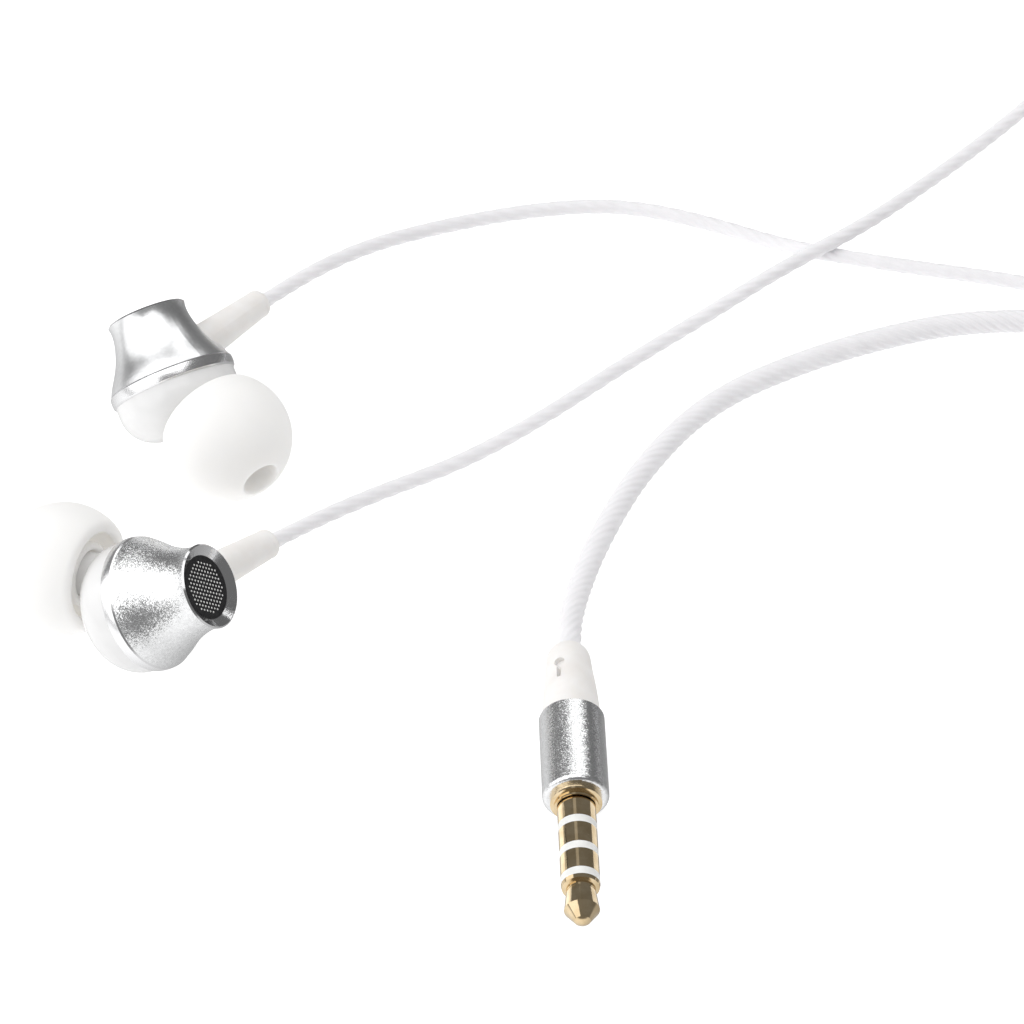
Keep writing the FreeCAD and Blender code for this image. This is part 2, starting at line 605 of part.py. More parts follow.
def plug_boot():
    """Bullet-shaped strain relief with a keyhole slot."""
    rear = -BARREL_LENGTH - PLUG_BOOT_LENGTH
    bore = MAIN_RADIUS + 0.05
    edges = lines([(bore, rear), (1.48, rear)])
    edges.append(curve([(1.48, rear), (1.86, rear + 0.5), (2.15, rear + 2.0), (2.48, rear + 5.2),
                        (2.72, -BARREL_LENGTH)]))
    edges += lines([(2.72, -BARREL_LENGTH), (bore, -BARREL_LENGTH), (bore, rear)])
    head = Part.makeCylinder(0.52, 2, Vec(0, 1.65, rear + 3.1), Vec(0, 1, 0))
    stem = Part.makeBox(0.44, 2, 2.0, Vec(-0.22, 1.65, rear + 3.1))
    slot = head.fuse(stem)
    slot.rotate(AXIS_START, Z_AXIS, SLOT_TURN)
    return spun(edges).cut(slot)


def plug_barrel():
    """Aluminium sleeve with a rounded front edge."""
    edges = lines([(JACK_NECK, 0), (2.62, 0)])
    edges.append(arc((2.62, 0), (2.90, -0.12), (BARREL_RADIUS, -0.42)))
    edges += lines([(BARREL_RADIUS, -0.42), (BARREL_RADIUS, 0.18 - BARREL_LENGTH), (2.86, -BARREL_LENGTH),
                    (BARREL_BORE, -BARREL_LENGTH), (BARREL_BORE, -BARREL_FRONT_WALL),
                    (JACK_NECK, -BARREL_FRONT_WALL), (JACK_NECK, 0)])
    return spun(edges)


def plug_collar():
    """Stepped gold shoulder on the barrel's front."""
    (wide, step), (narrow, front) = COLLAR_STEPS
    return spun(lines([(JACK_NECK, 0), (wide, 0), (wide, step), (narrow, step + 0.07), (narrow, front),
                       (JACK_NECK, front), (JACK_NECK, 0)]))


def plug_tip(start):
    """Bulb with a waist behind it and a conical nose, and the rod that carries it."""
    waist = 1.32
    bulb = 1.58
    nose = 0.72
    crease = JACK_LENGTH - 1.42
    nose_end = JACK_LENGTH - 0.24
    edges = lines([(0, JACK_ROOT), (TIP_ROD_RADIUS, JACK_ROOT), (TIP_ROD_RADIUS, start),
                   (JACK_RADIUS, start), (JACK_RADIUS - 0.08, start + 0.35), (waist, JACK_LENGTH - 3.75),
                   (waist, JACK_LENGTH - 3.35), (bulb, crease), (nose, nose_end)])
    edges.append(cap(nose, nose_end, JACK_LENGTH))
    edges += lines([(0, JACK_LENGTH), (0, JACK_ROOT)])
    return spun(edges)


def plug():
    """Four-pole 3.5 mm plug: tip, two rings and sleeve between insulators, then collar and barrel."""
    gaps = [(low, low + INSULATOR_WIDTH) for low in INSULATOR_PLACES]
    sleeve = tube(JACK_NECK, JACK_BORE, JACK_ROOT, JACK_START)
    sleeve = sleeve.fuse(tube(JACK_RADIUS, JACK_BORE, JACK_START, gaps[0][0])).removeSplitter()
    insulators = [tube(JACK_RADIUS, JACK_BORE, low, high) for low, high in gaps]
    pieces = {
        "plug_barrel": plug_barrel(),
        "plug_boot": plug_boot(),
        "plug_collar": plug_collar(),
        "plug_sleeve": sleeve,
        "plug_ring_back": tube(JACK_RADIUS, JACK_BORE, gaps[0][1], gaps[1][0]),
        "plug_ring_front": tube(JACK_RADIUS, JACK_BORE, gaps[1][1], gaps[2][0]),
        "plug_tip": plug_tip(gaps[-1][1]),
        "plug_insulators": Part.makeCompound(insulators),
    }
    for name, shape in pieces.items():
        placed = shape.copy()
        placed.Placement = plug_placement()
        nodes[name] = placed


def main():
    for ear, place in EAR_PLACES.items():
        for name, shape in ear_pieces(place["side"]).items():
            placed = shape.copy()
            placed.Placement = ear_placement(place).multiply(placed.Placement)
            nodes[ear + "_" + name] = placed
    cords()
    remote()
    splitter()
    plug()
    os.makedirs("parts", exist_ok=True)
    for name, shape in nodes.items():
        shape.exportStep("parts/" + name + ".step")
    print(len(nodes), "nodes")


main()
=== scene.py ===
"""Looks of the wired earphones: camera, cords, ear tips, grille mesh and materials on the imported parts."""

import json
from math import asin, cos, pi, radians, sin, sqrt, tau

import bpy
from mathutils import Matrix, Vector, noise


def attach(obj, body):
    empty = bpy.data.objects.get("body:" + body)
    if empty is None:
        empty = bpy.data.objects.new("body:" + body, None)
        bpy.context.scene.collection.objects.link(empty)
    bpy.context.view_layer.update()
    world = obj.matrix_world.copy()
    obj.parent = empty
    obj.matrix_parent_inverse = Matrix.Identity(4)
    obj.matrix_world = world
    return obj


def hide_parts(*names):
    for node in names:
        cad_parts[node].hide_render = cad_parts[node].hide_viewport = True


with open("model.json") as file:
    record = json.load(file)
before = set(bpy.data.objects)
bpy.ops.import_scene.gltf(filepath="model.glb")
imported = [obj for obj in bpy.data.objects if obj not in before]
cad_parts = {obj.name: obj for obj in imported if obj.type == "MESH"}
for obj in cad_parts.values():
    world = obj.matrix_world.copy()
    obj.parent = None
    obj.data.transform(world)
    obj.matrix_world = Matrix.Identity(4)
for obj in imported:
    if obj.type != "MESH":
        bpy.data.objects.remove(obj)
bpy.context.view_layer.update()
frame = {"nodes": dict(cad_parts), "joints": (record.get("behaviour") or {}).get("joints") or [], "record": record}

MM = 0.001
ROOT = "earphones"
EARS = ("right", "left")

# ---------------------------------------------------------------- camera
LOOK_AT = Vector((34.75, 0.16, 0)) * MM
VIEW_DISTANCE = 360 * MM
VIEW_ELEVATION = 45.48
VIEW_ANGLE = 15.8

# ---------------------------------------------------------------- light: radiances, 1 is the picture's white
SOFTBOX = 1.45
SIDE_SOFTBOX = 1.25
GOLD_EDGE = 0.80              # under the table, mirrored in the sides of the plug's gold
GOLD_STREAK = 0.25
WHITE_FILL = 0.50             # from the right, on everything but aluminium and gold
FLOOR_GLOW = 0.78
BRIGHT_SIDE = Vector((-0.60, -0.75, 0.0)).normalized()
ROOM = (0.17, 0.24)           # above the table, away from the bright side and towards it
MIRRORED_TABLE = (0.24, 1.36)  # below, as gloss and metal mirror it

# ---------------------------------------------------------------- cords, in mm
BRANCH_RADIUS = 0.78
MAIN_RADIUS = 1.20
BRANCH_FLOOR = 0.80
MAIN_FLOOR = 1.22
COILS = {
    "right": {"centre": (121.3, 80.0), "outer": 10.2, "pitch": 1.6, "turns": 3.38,
              "start": 138.0, "sense": -1, "floor": BRANCH_FLOOR},
    "left": {"centre": (102.8, 39.6), "outer": 10.2, "pitch": 1.6, "turns": 4.28,
             "start": -101.0, "sense": 1, "floor": BRANCH_FLOOR},
    "main": {"centre": (119.6, 0.1), "outer": 18.4, "pitch": 2.45, "turns": 6.5,
             "start": 180.0, "sense": 1, "floor": MAIN_FLOOR},
}
COIL_POINTS = 24              # control points in each turn
RIGHT_TO_COIL = [(20.8, 0.4, 1.90), (29.8, 6.2, 0.80), (37.8, 12.5, 0.80), (45.9, 20.1, 0.80),
                 (54.4, 27.4, 0.80), (62.9, 33.5, 2.30), (71.6, 39.8, 2.40), (80.9, 50.3, 0.95),
                 (88.1, 58.1, 0.80), (92.9, 63.0, 1.70), (96.2, 66.8, 2.30), (108.2, 80.2, 2.30),
                 (111.0, 83.5, 1.60)]
RIGHT_TO_SPLITTER = [(131.6, 72.2, 2.00), (133.2, 62.7, 1.00), (136.8, 53.2, 0.80),
                     (138.7, 43.2, 0.90), (139.2, 34.0, 2.10), (139.2, 27.0, 2.20)]
LEFT_TO_COIL = [(18.8, 34.3, 4.10), (27.8, 40.7, 1.70), (37.3, 44.3, 0.80), (46.3, 45.0, 0.80),
                (54.9, 42.4, 0.80), (63.9, 38.1, 0.80), (74.8, 35.4, 0.80), (85.8, 33.2, 0.80),
                (93.9, 30.9, 0.80)]
LEFT_TO_SPLITTER = [(113.1, 44.6, 1.90), (113.6, 50.3, 1.10), (117.3, 55.7, 0.80), (123.3, 57.8, 0.80),
                    (129.1, 55.5, 0.80), (132.2, 50.0, 0.80), (133.6, 43.0, 0.90), (135.9, 36.6, 1.70),
                    (136.4, 31.6, 2.20), (136.4, 27.2, 2.20)]
MAIN_TO_COIL = [(40.4, -14.7, 2.30), (42.9, -5.2, 1.25), (47.5, 5.1, 1.22), (54.6, 14.6, 1.22),
                (65.3, 21.0, 1.22), (76.1, 25.1, 1.22), (82.7, 26.3, 1.22), (90.4, 26.4, 1.22),
                (97.1, 22.4, 1.22), (100.8, 15.6, 1.22), (101.2, 7.8, 1.22)]
MAIN_TO_SPLITTER = [(138.1, 6.0, 3.20), (137.8, 11.4, 2.30), (137.8, 15.5, 2.20)]
TWIST = {
    "branch": {"radius": BRANCH_RADIUS, "lobes": 6, "lead": 12.4, "depth": 0.11},
    "main": {"radius": MAIN_RADIUS, "lobes": 9, "lead": 10.4, "depth": 0.12},
}
RING_STEP = 0.55              # between the rings of a cord's mesh
LOBE_POINTS = 5               # across each strand

# ---------------------------------------------------------------- earpiece and plug, in mm
TIP_RADIUS = 6.29
TIP_CENTRE = 12.20            # along the nozzle's axis from where it meets the housing's axis
TIP_SKIRT_START = 8.60
TIP_WALL = 0.54
TIP_LIP = 1.05                # thickness of the skirt's rolled rear lip
TIP_BORE = 2.34
TIP_HOLE = 1.85
TIP_CORE = 3.10
TIP_CORE_START = 9.30
NOZZLE_END = 14.50
NOZZLE_ROOT = -3.83
BOOT_ROOT = -2.20
BOOT_LEAN = 16.7
BOOT_END = 14.20
BELL_LENGTH = 7.95
GRILLE_RECESS = 0.55
GRILLE_THICK = 0.30
GRILLE_PITCH = 0.43
GRILLE_REACH = 2.58           # the hole pattern's radius
PLUG_MOUNT = 5.475            # from the barrel's front to the mount's point
PLUG_REAR = 18.0              # from the barrel's front to the end of its boot
BOOT_CORD_START = 2.5         # where a branch cord starts inside its boot
BOOT_CORD_CLEAR = 2.2         # how far a branch cord runs straight past its boot
PLUG_CORD_TUCK = 6.0          # how far the main cord reaches into the plug's boot
PLUG_CORD_CLEAR = 0.8         # how far it runs straight past it
TIP_SIDES = 72
GRILLE_SIDES = 12
RIM_FACING = -0.3             # faces of the back rim look at least this much backwards
FLOOR_SIZE = 6.0              # in metres
FLOOR_DROP = 0.05             # in mm, so that the table doesn't touch the object
GOLD_NODES = ("plug_collar", "plug_sleeve", "plug_ring_back", "plug_ring_front", "plug_tip")


# ---------------------------------------------------------------- places read from the frame
def ear_matrix(ear):
    """The earpiece's own frame: z along its housing to the ear, x the way its nozzle leans."""
    mount = next(m for m in frame["record"]["mounts"] if m["name"] == ear + "_ear")
    stroke = next(j for j in frame["joints"] if j["name"] == ear + "_diaphragm_stroke")
    nozzle = Vector(mount["axis"]).normalized()
    front = Vector(stroke["axis"]).normalized()
    lean = (nozzle - front * nozzle.dot(front)).normalized()
    side = front.cross(lean)
    at = Vector(mount["pos_m"]) - nozzle * TIP_CENTRE * MM - front * NOZZLE_ROOT * MM
    turn = Matrix((lean, side, front)).transposed().to_4x4()
    return Matrix.Translation(at) @ turn


def nozzle_matrix(ear):
    """A frame with z along the nozzle and its start where the two axes meet."""
    mount = next(m for m in frame["record"]["mounts"] if m["name"] == ear + "_ear")
    nozzle = Vector(mount["axis"]).normalized()
    root = Vector(mount["pos_m"]) - nozzle * TIP_CENTRE * MM
    return Matrix.Translation(root) @ nozzle.to_track_quat("Z", "Y").to_matrix().to_4x4()


def boot_point(ear, along):
    """A point on the axis of an earpiece's cable boot."""
    side = 1 if ear == "right" else -1
    lean = radians(BOOT_LEAN)
    return ear_matrix(ear) @ (Vector((0, side * cos(lean) * along, BOOT_ROOT - sin(lean) * along)) * MM)


def plug_point(behind):
    """A point on the plug's axis, that far behind the barrel's front."""
    mount = next(m for m in frame["record"]["mounts"] if m["name"] == "jack_plug")
    return Vector(mount["pos_m"]) - Vector(mount["axis"]).normalized() * (PLUG_MOUNT + behind) * MM


# ---------------------------------------------------------------- camera, floor and light
def make_camera():
    data = bpy.data.cameras.new("camera")
    data.angle = radians(VIEW_ANGLE)
    data.clip_start = 0.01
    camera = bpy.data.objects.new("camera", data)
    bpy.context.scene.collection.objects.link(camera)
    elevation = radians(VIEW_ELEVATION)
    back = Vector((0, -cos(elevation), sin(elevation)))
    camera.location = LOOK_AT + back * VIEW_DISTANCE
    camera.rotation_euler = (-back).to_track_quat("-Z", "Y").to_euler()
    bpy.context.scene.camera = camera


def softbox(name, heading, elevation, width, height, radiance):
    """A soft box one metre away; heading 0 is behind the object, 90 is to its right."""
    data = bpy.data.lights.new(name, "AREA")
    data.shape = "RECTANGLE"
    data.size = width
    data.size_y = height
    data.energy = radiance * pi * width * height
    lamp = bpy.data.objects.new(name, data)
    bpy.context.scene.collection.objects.link(lamp)
    heading, elevation = radians(heading), radians(elevation)
    towards = Vector((sin(heading) * cos(elevation), cos(heading) * cos(elevation), sin(elevation)))
    lamp.location = LOOK_AT + towards
    lamp.rotation_euler = (-towards).to_track_quat("-Z", "Y").to_euler()
    lamp.visible_camera = False
    return lamp


def make_floor():
    """A white table that glows, as a lit table for product pictures does."""
    bpy.ops.mesh.primitive_plane_add(size=FLOOR_SIZE, location=(0, 0, -FLOOR_DROP * MM))
    floor = bpy.context.object
    floor.name = "floor"
    white = principled("floor_white", (0.50, 0.50, 0.50), roughness=0.9)
    shader = white.node_tree.nodes["Principled BSDF"]
    shader.inputs["Emission Color"].default_value = (1, 1, 1, 1)
    shader.inputs["Emission Strength"].default_value = FLOOR_GLOW
    floor.data.materials.append(white)
    floor.visible_glossy = False


def make_room():
    """A dim room above the table, and its pale, uneven reflection below, which gloss and metal mirror."""
    world = bpy.data.worlds.new("room")
    bpy.context.scene.world = world
    world.use_nodes = True
    nodes, links = world.node_tree.nodes, world.node_tree.links
    direction = nodes.new("ShaderNodeTexCoord")
    parts = nodes.new("ShaderNodeSeparateXYZ")
    links.new(direction.outputs["Generated"], parts.inputs["Vector"])
    side = nodes.new("ShaderNodeVectorMath")
    side.operation = "DOT_PRODUCT"
    side.inputs[1].default_value = BRIGHT_SIDE
    links.new(direction.outputs["Generated"], side.inputs[0])
    shares = []
    for low, high in (MIRRORED_TABLE, ROOM):
        share = nodes.new("ShaderNodeMapRange")
        share.inputs["From Min"].default_value = -1.0
        share.inputs["To Min"].default_value = low
        share.inputs["To Max"].default_value = high
        links.new(side.outputs["Value"], share.inputs["Value"])
        shares.append(share.outputs["Result"])
    height = nodes.new("ShaderNodeMapRange")
    height.interpolation_type = "SMOOTHSTEP"
    height.inputs["From Min"].default_value = -0.25
    height.inputs["From Max"].default_value = 0.05
    links.new(parts.outputs["Z"], height.inputs["Value"])
    mix = nodes.new("ShaderNodeMix")
    links.new(height.outputs["Result"], mix.inputs["Factor"])
    links.new(shares[0], mix.inputs["A"])
    links.new(shares[1], mix.inputs["B"])
    background = nodes["Background"]
    background.inputs["Color"].default_value = (1, 1, 1, 1)
    links.new(mix.outputs["Result"], background.inputs["Strength"])


def link_light(lamp, names, state):
    """The light falls only on these CAD nodes (INCLUDE), or on everything but them (EXCLUDE)."""
    linked = bpy.data.collections.new("linked_to_" + lamp.name)
    for name in names:
        linked.objects.link(frame["nodes"][name])
    lamp.light_linking.receiver_collection = linked
    for item in linked.collection_objects:
        item.light_linking.link_state = state


def make_studio():
    make_floor()
    make_room()
    overhead = softbox("overhead", -90, 80, 1.24, 1.45, SOFTBOX)
    softbox("left_side", -108, 28, 1.55, 0.98, SIDE_SOFTBOX)
    behind = softbox("behind", 15, 44, 0.72, 0.36, SOFTBOX)
    for lamp in (overhead, behind):
        link_light(lamp, GOLD_NODES, "EXCLUDE")
    for side in (-1, 1):
        edge = softbox("gold_edge", side * 45, -18, 0.50, 0.70, GOLD_EDGE)
        link_light(edge, GOLD_NODES, "INCLUDE")
    streak = softbox("gold_streak", -16, 48, 0.22, 0.34, GOLD_STREAK)
    link_light(streak, GOLD_NODES, "INCLUDE")
    fill = softbox("white_fill", 80, 35, 1.20, 0.90, WHITE_FILL)
    metals = ("satin_aluminium", "polished_aluminium", "gold")
    link_light(fill, [row["node"] for row in frame["record"]["subparts"] if row["material_slot"] in metals],
               "EXCLUDE")
    bpy.context.scene.view_settings.view_transform = "Standard"


# ---------------------------------------------------------------- material helpers
TINT_START = 0.3              # of the texture's height, where the base colour starts to change
TINT_END = 0.7
GRAIN_PER_MM = 14.0           # of the sand-blasted aluminium


def principled(name, colour, metallic=0.0, roughness=0.5, **sockets):
    material = bpy.data.materials.new(name)
    material.use_nodes = True
    shader = material.node_tree.nodes["Principled BSDF"]
    shader.inputs["Base Color"].default_value = (*colour, 1)
    shader.inputs["Metallic"].default_value = metallic
    shader.inputs["Roughness"].default_value = roughness
    for socket, value in sockets.items():
        shader.inputs[socket.replace("_", " ")].default_value = value
    return material


def texture(material, kind, per_mm, detail=2.0):
    """A noise's height or a Voronoi cell's colour in the object's own space; per_mm is its scale."""
    nodes = material.node_tree.nodes
    place = nodes.new("ShaderNodeTexCoord")
    pattern = nodes.new("ShaderNodeTex" + kind)
    pattern.inputs["Scale"].default_value = per_mm / MM
    if kind == "Noise":
        pattern.inputs["Detail"].default_value = detail
    material.node_tree.links.new(place.outputs["Object"], pattern.inputs["Vector"])
    return pattern.outputs["Fac" if kind == "Noise" else "Color"]


def tint(material, amount, low, high):
    """Base colour runs from low to high as a texture rises."""
    nodes, links = material.node_tree.nodes, material.node_tree.links
    ramp = nodes.new("ShaderNodeValToRGB")
    ramp.color_ramp.elements[0].position = TINT_START
    ramp.color_ramp.elements[1].position = TINT_END
    ramp.color_ramp.elements[0].color = (*low, 1)
    ramp.color_ramp.elements[1].color = (*high, 1)
    links.new(amount, ramp.inputs["Fac"])
    links.new(ramp.outputs["Color"], nodes["Principled BSDF"].inputs["Base Color"])


def uneven_gloss(material, amount, low, high):
    nodes, links = material.node_tree.nodes, material.node_tree.links
    spread = nodes.new("ShaderNodeMapRange")
    spread.inputs["To Min"].default_value = low
    spread.inputs["To Max"].default_value = high
    links.new(amount, spread.inputs["Value"])
    links.new(spread.outputs["Result"], nodes["Principled BSDF"].inputs["Roughness"])


def bump(material, height, strength, depth):
    """Adds a bump of that depth in mm on top of any bump the material has."""
    nodes, links = material.node_tree.nodes, material.node_tree.links
    relief = nodes.new("ShaderNodeBump")
    relief.inputs["Strength"].default_value = strength
    relief.inputs["Distance"].default_value = depth * MM
    links.new(height, relief.inputs["Height"])
    normal = nodes["Principled BSDF"].inputs["Normal"]
    if normal.is_linked:
        links.new(normal.links[0].from_socket, relief.inputs["Normal"])
    links.new(relief.outputs["Normal"], normal)


def facets(material, per_mm, tilt):
    """Small flat facets, each leaning its own way by up to about half of tilt."""
    nodes, links = material.node_tree.nodes, material.node_tree.links
    cell = texture(material, "Voronoi", per_mm)
    lean = nodes.new("ShaderNodeVectorMath")
    lean.operation = "SUBTRACT"
    lean.inputs[1].default_value = (0.5, 0.5, 0.5)
    links.new(cell, lean.inputs[0])
    turned = nodes.new("ShaderNodeVectorMath")
    turned.operation = "MULTIPLY_ADD"
    turned.inputs[1].default_value = (tilt, tilt, tilt)
    links.new(lean.outputs["Vector"], turned.inputs[0])
    links.new(nodes.new("ShaderNodeNewGeometry").outputs["Normal"], turned.inputs[2])
    unit = nodes.new("ShaderNodeVectorMath")
    unit.operation = "NORMALIZE"
    links.new(turned.outputs["Vector"], unit.inputs[0])
    links.new(unit.outputs["Vector"], nodes["Principled BSDF"].inputs["Normal"])


# ---------------------------------------------------------------- materials
def satin_aluminium(name, grain, roughness):
    """Sand-blasted and anodised: fine sparkling grain."""
    made = principled(name, (0.80, 0.805, 0.815), metallic=1.0, roughness=roughness)
    tint(made, texture(made, "Noise", 2.6, 3), (0.78, 0.785, 0.79), (0.86, 0.865, 0.87))
    uneven_gloss(made, texture(made, "Noise", 5.0, 2), roughness * 0.9, roughness * 1.1)
    facets(made, GRAIN_PER_MM, grain)
    return made


def polished_aluminium(name, shade, roughness):
    made = principled(name, (shade, shade, shade * 1.01), metallic=1.0, roughness=roughness)
    uneven_gloss(made, texture(made, "Noise", 1.2, 4), roughness * 0.85, roughness * 1.15)
    bump(made, texture(made, "Noise", 6.0, 2), 0.60, 0.012)
    return made


def black_grille():
    made = principled("black_grille", (0.012, 0.012, 0.014), roughness=0.45, Specular_IOR_Level=0.20)
    tint(made, texture(made, "Noise", 8.0, 2), (0.008, 0.008, 0.009), (0.024, 0.024, 0.025))
    bump(made, texture(made, "Noise", 14.0, 2), 0.35, 0.010)
    return made


def grille_mesh_steel():
    made = principled("grille_mesh_steel", (0.95, 0.95, 0.93), metallic=0.5, roughness=0.40)
    tint(made, texture(made, "Noise", 3.0, 2), (0.80, 0.80, 0.78), (0.97, 0.97, 0.96))
    return made


def white_plastic():
    """Glossy moulded shell."""
    made = principled("white_plastic", (0.80, 0.798, 0.798), roughness=0.22, Coat_Weight=0.25,
                      Coat_Roughness=0.08)
    tint(made, texture(made, "Noise", 0.35, 3), (0.785, 0.783, 0.783), (0.815, 0.813, 0.813))
    uneven_gloss(made, texture(made, "Noise", 2.0, 3), 0.18, 0.28)
    bump(made, texture(made, "Noise", 4.0, 3), 0.12, 0.006)
    return made


def white_silicone():
    """Powdery and slightly translucent; a faint glow stands in for light scattered deep inside."""
    made = principled("white_silicone", (0.81, 0.805, 0.795), roughness=0.50, Specular_IOR_Level=0.2,
                      Subsurface_Weight=0.3, Subsurface_Radius=(1.8 * MM, 1.7 * MM, 1.5 * MM),
                      Subsurface_Scale=1.0, Sheen_Weight=0.12, Emission_Color=(1.0, 0.965, 0.91, 1.0),
                      Emission_Strength=0.13)
    tint(made, texture(made, "Noise", 0.25, 4), (0.80, 0.797, 0.79), (0.82, 0.817, 0.81))
    uneven_gloss(made, texture(made, "Noise", 1.6, 3), 0.44, 0.56)
    bump(made, texture(made, "Noise", 12.0, 2), 0.15, 0.006)
    return made


def white_rubber():
    """Matt cable boots."""
    made = principled("white_rubber", (0.86, 0.84, 0.82), roughness=0.60, Specular_IOR_Level=0.25,
                      Subsurface_Weight=0.2,
                      Subsurface_Radius=(0.8 * MM, 0.7 * MM, 0.6 * MM), Subsurface_Scale=1.0)
    tint(made, texture(made, "Noise", 0.5, 4), (0.835, 0.81, 0.785), (0.885, 0.87, 0.855))
    bump(made, texture(made, "Noise", 7.0, 3), 0.30, 0.012)
    return made


def white_cord():
    """Soft thermoplastic sheath over the twisted strands."""
    made = principled("white_cord", (0.84, 0.833, 0.848), roughness=0.60, Specular_IOR_Level=0.12,
                      Subsurface_Weight=0.3,
                      Subsurface_Radius=(0.9 * MM, 0.85 * MM, 0.85 * MM), Subsurface_Scale=1.0)
    tint(made, texture(made, "Noise", 0.6, 4), (0.82, 0.812, 0.828), (0.86, 0.852, 0.868))
    bump(made, texture(made, "Noise", 5.0, 3), 0.35, 0.020)
    return made


def gold():
    """Plated and polished, with a faint fine ripple and handling haze."""
    made = principled("gold", (0.72, 0.57, 0.36), metallic=1.0, roughness=0.10)
    tint(made, texture(made, "Noise", 0.8, 3), (0.64, 0.49, 0.29), (0.80, 0.65, 0.43))
    uneven_gloss(made, texture(made, "Noise", 2.2, 4), 0.05, 0.14)
    bump(made, texture(made, "Noise", 8.0, 2), 0.12, 0.006)
    return made


def plain_metal(name, colour, roughness):
    made = principled(name, colour, metallic=1.0, roughness=roughness)
    uneven_gloss(made, texture(made, "Noise", 3.0, 3), roughness * 0.8, roughness * 1.2)
    bump(made, texture(made, "Noise", 10.0, 2), 0.2, 0.008)
    return made


def plain_plastic(name, colour, roughness):
    made = principled(name, colour, roughness=roughness)
    shade = tuple(0.88 * part for part in colour)
    tint(made, texture(made, "Noise", 1.0, 3), shade, colour)
    bump(made, texture(made, "Noise", 6.0, 3), 0.2, 0.010)
    return made


def make_materials():
    """A finish for each material slot, and others for the grille's mesh and three aluminium faces."""
    return {
        "satin_aluminium": satin_aluminium("satin_aluminium", 0.34, 0.26),
        "fine_satin_aluminium": satin_aluminium("fine_satin_aluminium", 0.06, 0.29),
        "barrel_aluminium": satin_aluminium("barrel_aluminium", 0.22, 0.22),
        "polished_aluminium": polished_aluminium("polished_aluminium", 0.86, 0.24),
        "bright_cut_aluminium": polished_aluminium("bright_cut_aluminium", 0.66, 0.12),
        "black_grille": black_grille(),
        "grille_mesh_steel": grille_mesh_steel(),
        "white_plastic": white_plastic(),
        "steel_mesh": plain_metal("steel_mesh", (0.62, 0.62, 0.64), 0.40),
        "white_silicone": white_silicone(),
        "white_rubber": white_rubber(),
        "steel": plain_metal("steel", (0.66, 0.66, 0.68), 0.32),
        "black_plastic": plain_plastic("black_plastic", (0.05, 0.05, 0.05), 0.5),
        "magnet": plain_metal("magnet", (0.70, 0.70, 0.72), 0.18),
        "copper": plain_metal("copper", (0.72, 0.42, 0.25), 0.30),
        "clear_film": plain_plastic("clear_film", (0.80, 0.80, 0.78), 0.2),
        "circuit_board": plain_plastic("circuit_board", (0.05, 0.30, 0.14), 0.35),
        "gold": gold(),
        "white_insulator": plain_plastic("white_insulator", (0.90, 0.90, 0.88), 0.45),
        "white_cord": white_cord(),
    }


def dress_nodes(materials):
    """Gives each CAD node the finish of its slot, apart from two nodes with finishes of their own."""
    finish = {row["node"]: row["material_slot"] for row in frame["record"]["subparts"]}
    finish["left_housing"] = "fine_satin_aluminium"
    finish["plug_barrel"] = "barrel_aluminium"
    for name, node in frame["nodes"].items():
        node.data.materials.clear()
        node.data.materials.append(materials[finish[name]])
        for face in node.data.polygons:
            face.material_index = 0


def polish_back_rim(ear, materials):
    """The dished rim round the grille is cut smooth after the blasting."""
    node = frame["nodes"][ear + "_housing"]
    node.data.materials.append(materials["bright_cut_aluminium"])
    to_ear = ear_matrix(ear).inverted() @ node.matrix_world
    turn = to_ear.to_3x3()
    for face in node.data.polygons:
        on_rim = (to_ear @ face.center).z < (GRILLE_RECESS - BELL_LENGTH) * MM
        if on_rim and (turn @ face.normal).z < RIM_FACING:
            face.material_index = 1


# ---------------------------------------------------------------- mesh helpers
def mesh_piece(name, points, faces, material):
    mesh = bpy.data.meshes.new(name)
    mesh.from_pydata(points, [], faces)
    mesh.update()
    mesh.shade_smooth()
    piece = bpy.data.objects.new(name, mesh)
    bpy.context.scene.collection.objects.link(piece)
    mesh.materials.append(material)
    return piece


def grid_faces(rings, around, closed_rings=False):
    """Quads between rings of points; closed_rings joins the last ring to the first."""
    faces = []
    for ring in range(rings if closed_rings else rings - 1):
        following = (ring + 1) % rings
        for place in range(around):
            beside = (place + 1) % around
            faces.append((ring * around + place, ring * around + beside,
                          following * around + beside, following * around + place))
    return faces


def arc_points(centre, radius, start, end, count):
    """Points of (radius, height) on an arc about a centre on the axis; angles from the axis."""
    steps = [start + (end - start) * step / (count - 1) for step in range(count)]
    return [(radius * sin(angle), centre + radius * cos(angle)) for angle in steps]


# ---------------------------------------------------------------- cords
def coil_route(coil):
    """Turns wound inwards on the floor, then outwards on top of them."""
    turns = coil["turns"]
    count = round(turns * COIL_POINTS)
    route = []
    for step in range(count + 1):
        turned = turns * step / count
        angle = radians(coil["start"] + coil["sense"] * 360 * turned)
        radius = coil["outer"] - coil["pitch"] * min(turned, turns - turned)
        layer = min(max(turned - turns / 2 + 0.5, 0), 1)
        route.append((coil["centre"][0] + radius * cos(angle), coil["centre"][1] + radius * sin(angle),
                      coil["floor"] + coil["pitch"] * layer))
    return route


def smooth_line(route):
    """Points along the smooth line whose control points these are."""
    data = bpy.data.curves.new("cord_line", "CURVE")
    data.dimensions = "3D"
    data.resolution_u = 16
    spline = data.splines.new("NURBS")
    spline.points.add(len(route) - 1)
    for point, place in zip(spline.points, route):
        point.co = (*place, 1)
    spline.order_u = 3
    spline.use_endpoint_u = True
    line = bpy.data.objects.new("cord_line", data)
    mesh = bpy.data.meshes.new_from_object(line)
    found = [vertex.co.copy() for vertex in mesh.vertices]
    bpy.data.meshes.remove(mesh)
    bpy.data.curves.remove(data)
    return found


